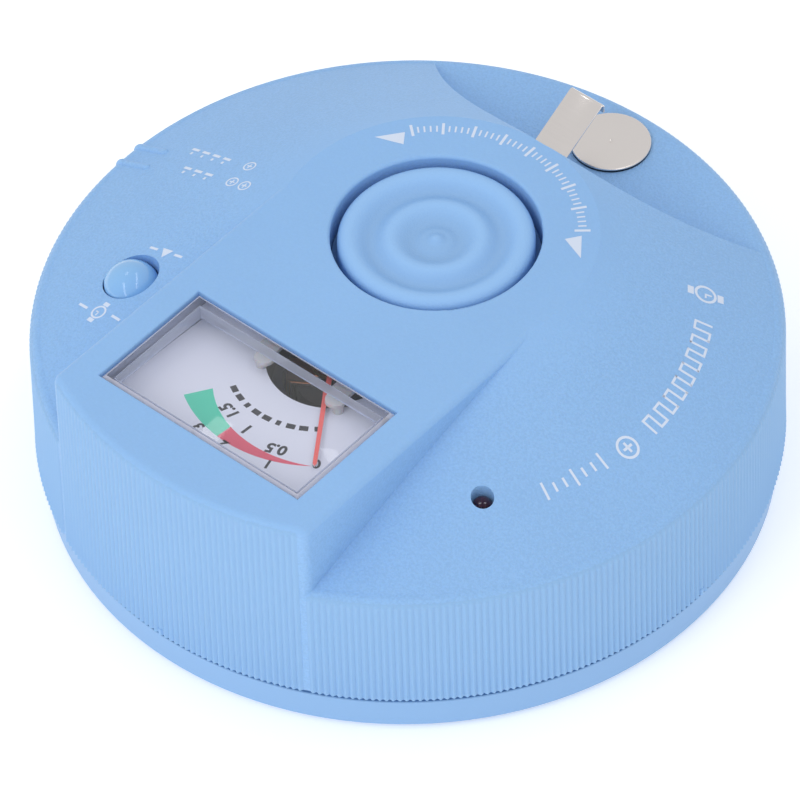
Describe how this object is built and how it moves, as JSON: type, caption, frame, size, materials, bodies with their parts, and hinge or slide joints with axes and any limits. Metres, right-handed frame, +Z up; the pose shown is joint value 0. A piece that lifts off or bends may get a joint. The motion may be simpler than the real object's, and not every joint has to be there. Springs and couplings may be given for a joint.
{
  "type": "quartz watch and battery tester",
  "caption": "Round tabletop tester with a watch pad, needle meter, push button, signal lamp, slide switch and a spring contact for button cells.",
  "frame": {"origin": "centre of the round underside, on the plane the feet rest on", "axes": "+Z up, +Y from the battery contacts towards the meter, +X towards the push button and the slide switch"},
  "size_m": [0.11, 0.11, 0.0406],
  "materials": {
    "housing_blue": "fine moulded texture, matte",
    "base_blue": "smooth moulded plastic, matte",
    "pad_blue": "fine grain, slightly soft to the touch",
    "button_blue": "glossy moulded plastic",
    "rubber_black": "matte rubber",
    "screw_steel": "zinc plated",
    "contact_nickel": "nickel plated, satin",
    "clear_cover": "clear moulded acrylic",
    "dial_white": "white printed card",
    "needle_red": "salmon red paint",
    "milky_plastic": "milky translucent plastic",
    "case_grey": "dark grey moulded plastic",
    "copper_wire": "enamelled copper winding",
    "former_alu": "bare aluminium",
    "magnet_dark": "sintered, dark grey",
    "yoke_steel": "plated soft iron",
    "brass_parts": "turned brass",
    "lens_red": "dark red tinted epoxy",
    "tinned_metal": "tinned",
    "board_green": "solder mask",
    "chip_black": "moulded epoxy",
    "resistor_tan": "lacquered",
    "capacitor_blue": "plastic sleeve",
    "bobbin_white": "moulded nylon",
    "slider_black": "matte black plastic",
    "battery_black": "lacquered steel case",
    "snap_black": "vinyl",
    "lead_red": "vinyl insulation",
    "lead_black": "vinyl insulation"
  },
  "bodies": {
    "housing": {"top_housing": "housing_blue", "base_cover": "base_blue", "rubber_feet": "rubber_black", "housing_screws": "screw_steel", "watch_pad": "pad_blue", "pad_ring": "rubber_black", "pickup_bobbin": "bobbin_white", "pickup_winding": "copper_wire", "ferrite_rod": "magnet_dark", "circuit_board": "board_green", "board_screws": "screw_steel", "amplifier_chip": "chip_black", "resistors": "resistor_tan", "capacitors": "capacitor_blue", "transistors": "chip_black", "signal_lamp": "lens_red", "lamp_leads": "tinned_metal", "push_switch_body": "chip_black", "range_switch_shell": "screw_steel", "contact_disc": "contact_nickel", "contact_nut": "screw_steel", "solder_tag": "tinned_metal", "strip_foot": "contact_nickel", "strip_rivet": "screw_steel", "battery_case": "battery_black", "battery_terminals": "tinned_metal", "battery_snap": "snap_black", "snap_lead_red": "lead_red", "snap_lead_black": "lead_black", "meter_case": "case_grey", "meter_cover": "clear_cover", "dial_plate": "dial_white", "meter_yoke": "yoke_steel", "core_magnet": "magnet_dark", "meter_bridge": "milky_plastic", "jewel_screws": "brass_parts", "upper_hairspring": "brass_parts", "lower_hairspring": "brass_parts", "meter_terminals": "tinned_metal", "meter_screws": "screw_steel", "meter_leads": "lead_black"},
    "button": {"test_button": "button_blue", "push_switch_plunger": "bobbin_white"},
    "slider": {"range_slider": "slider_black"},
    "needle_group": {"needle": "needle_red", "coil_former": "former_alu", "moving_coil": "copper_wire", "pivot_staffs": "screw_steel"},
    "strip": {"contact_strip": "contact_nickel"},
    "door": {"battery_door": "base_blue"}
  },
  "joints": [
    {"name": "button_press", "type": "slide", "parent": "housing", "child": "button", "axis": [0, 0, -1], "range_m": [0, 0.001], "stiffness_N_per_m": 800, "springref_m": -0.0005},
    {"name": "range_slide", "type": "slide", "parent": "housing", "child": "slider", "axis": [0, 1, 0], "range_m": [0, 0.004]},
    {"name": "needle_swing", "type": "hinge", "parent": "housing", "child": "needle_group", "pos_m": [-0.0016, 0.0177, 0.0353], "axis": [0, 0, -1], "range_deg": [0, 68], "stiffness_Nm_per_rad": 0.0002, "springref_deg": -2.86},
    {"name": "strip_press", "type": "hinge", "parent": "housing", "child": "strip", "pos_m": [0.00236, -0.02745, 0.0295], "axis": [1, 0, 0], "range_deg": [0, 24], "stiffness_Nm_per_rad": 0.02, "springref_deg": -1.15},
    {"name": "door_swing", "type": "hinge", "parent": "housing", "child": "door", "pos_m": [0, -0.0056, 0.0005], "axis": [1, 0, 0], "range_deg": [0, 65]}
  ]
}
